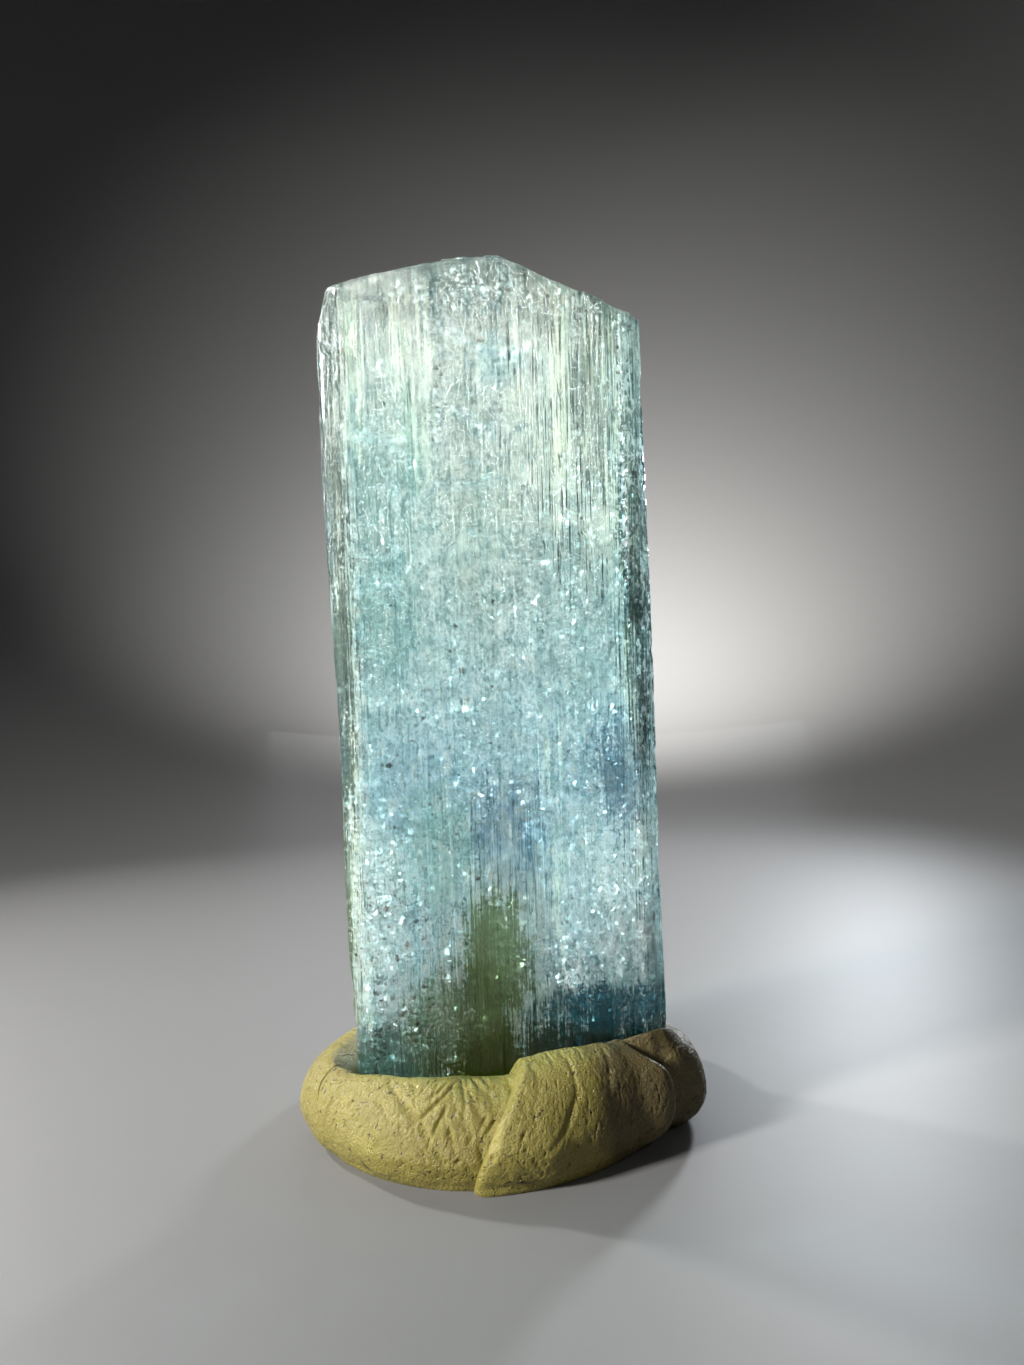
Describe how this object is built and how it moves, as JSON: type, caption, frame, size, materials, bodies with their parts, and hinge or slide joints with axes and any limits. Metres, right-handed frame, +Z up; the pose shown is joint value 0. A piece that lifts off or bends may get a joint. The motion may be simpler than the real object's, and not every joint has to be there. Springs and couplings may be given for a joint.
{
  "type": "aquamarine crystal specimen",
  "caption": "Tall pale blue-green beryl prism with a striated, flattened hexagonal body and a worn top, held upright in a rolled ring of cream mounting putty.",
  "frame": {"origin": "centre of the whole specimen's bounding box, on the surface it stands on", "axes": "+Z up along the crystal, +X to the right and -Y towards the camera that took the picture"},
  "size_m": [0.0212, 0.0206, 0.0435],
  "materials": {
    "aquamarine": "clear to cloudy, glassy faces with fine lengthwise striations",
    "putty": "soft satin, hand rolled, creased and specked"
  },
  "bodies": {
    "root": {"aquamarine_crystal": "aquamarine", "mounting_putty": "putty"}
  },
  "joints": []
}
